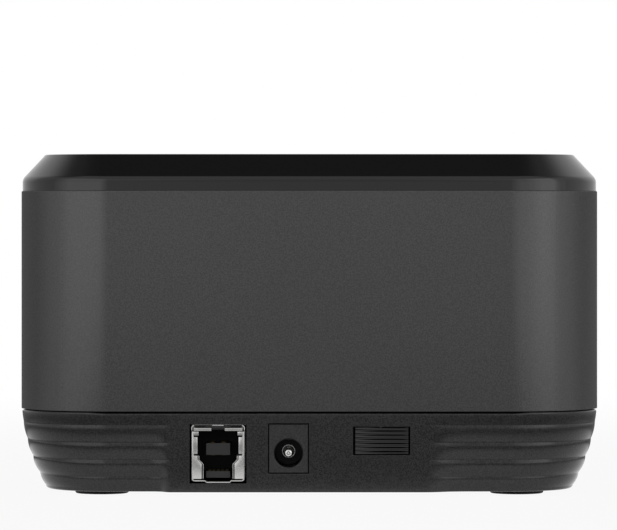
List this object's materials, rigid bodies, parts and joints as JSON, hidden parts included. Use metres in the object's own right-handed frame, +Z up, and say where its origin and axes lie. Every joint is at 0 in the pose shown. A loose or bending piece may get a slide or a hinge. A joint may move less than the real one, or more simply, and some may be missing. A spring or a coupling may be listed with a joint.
{
  "type": "hard drive docking station",
  "caption": "Desktop dock that holds an upright hard drive in a sprung-door slot, with a bevelled gloss top, grained sleeve, scalloped base, and a USB port, power jack and rocker switch behind.",
  "frame": {"origin": "middle of the footprint, on the surface that the feet stand on", "axes": "+Z up, -Y the front, +Y the rear with the sockets, +X to the right seen from the front"},
  "size_m": [0.135, 0.0824, 0.0791],
  "materials": {
    "gloss_black": "polished black",
    "grained_grey": "fine grained dark grey",
    "base_grey": "satin dark grey",
    "inner_black": "matt black",
    "rocker_black": "satin black",
    "ferrite": "sintered dark grey",
    "board_green": "solder mask",
    "lamp_white": "white diffuser",
    "clear_guide": "clear moulded",
    "steel": "bright",
    "nickel": "nickel plated",
    "can_aluminium": "drawn can",
    "gold": "gold plated",
    "rubber": "matt black"
  },
  "bodies": {
    "dock": {"top_cover": "gloss_black", "body_sleeve": "grained_grey", "base_tray": "base_grey", "bay_liner": "inner_black", "sata_housing": "inner_black", "usb_insulator": "inner_black", "jack_housing": "inner_black", "switch_body": "inner_black", "bridge_chip": "inner_black", "inductor": "ferrite", "circuit_board": "board_green", "status_lamp": "lamp_white", "light_guide": "clear_guide", "door_shaft": "steel", "large_door_spring": "steel", "small_door_spring": "steel", "usb_shell": "nickel", "jack_pin": "nickel", "jack_leaf": "nickel", "switch_terminals": "nickel", "crystal": "nickel", "capacitors": "can_aluminium", "sata_contacts": "gold", "usb_contacts": "gold", "case_screws": "steel", "board_screws": "steel", "bay_screws": "steel", "foot_front_left": "rubber", "foot_front_right": "rubber", "foot_rear_left": "rubber", "foot_rear_right": "rubber"},
    "large_door": {"large_door": "gloss_black"},
    "small_door": {"small_door": "gloss_black"},
    "rocker": {"switch_rocker": "rocker_black"}
  },
  "joints": [
    {"name": "large_door_hinge", "type": "hinge", "parent": "dock", "child": "large_door", "pos_m": [0, 0.0135, 0.0758], "axis": [1, 0, 0], "range_deg": [0, 90], "stiffness_Nm_per_rad": 0.004, "springref_deg": -34.38, "deforming": ["large_door_spring"]},
    {"name": "small_door_hinge", "type": "hinge", "parent": "dock", "child": "small_door", "pos_m": [0, 0.0135, 0.0758], "axis": [1, 0, 0], "range_deg": [0, 90], "stiffness_Nm_per_rad": 0.003, "springref_deg": -34.38, "deforming": ["small_door_spring"]},
    {"name": "rocker_pivot", "type": "hinge", "parent": "dock", "child": "rocker", "pos_m": [-0.0165, 0.03755, 0.01305], "axis": [0, 0, -1], "range_deg": [0, 6.4]}
  ]
}
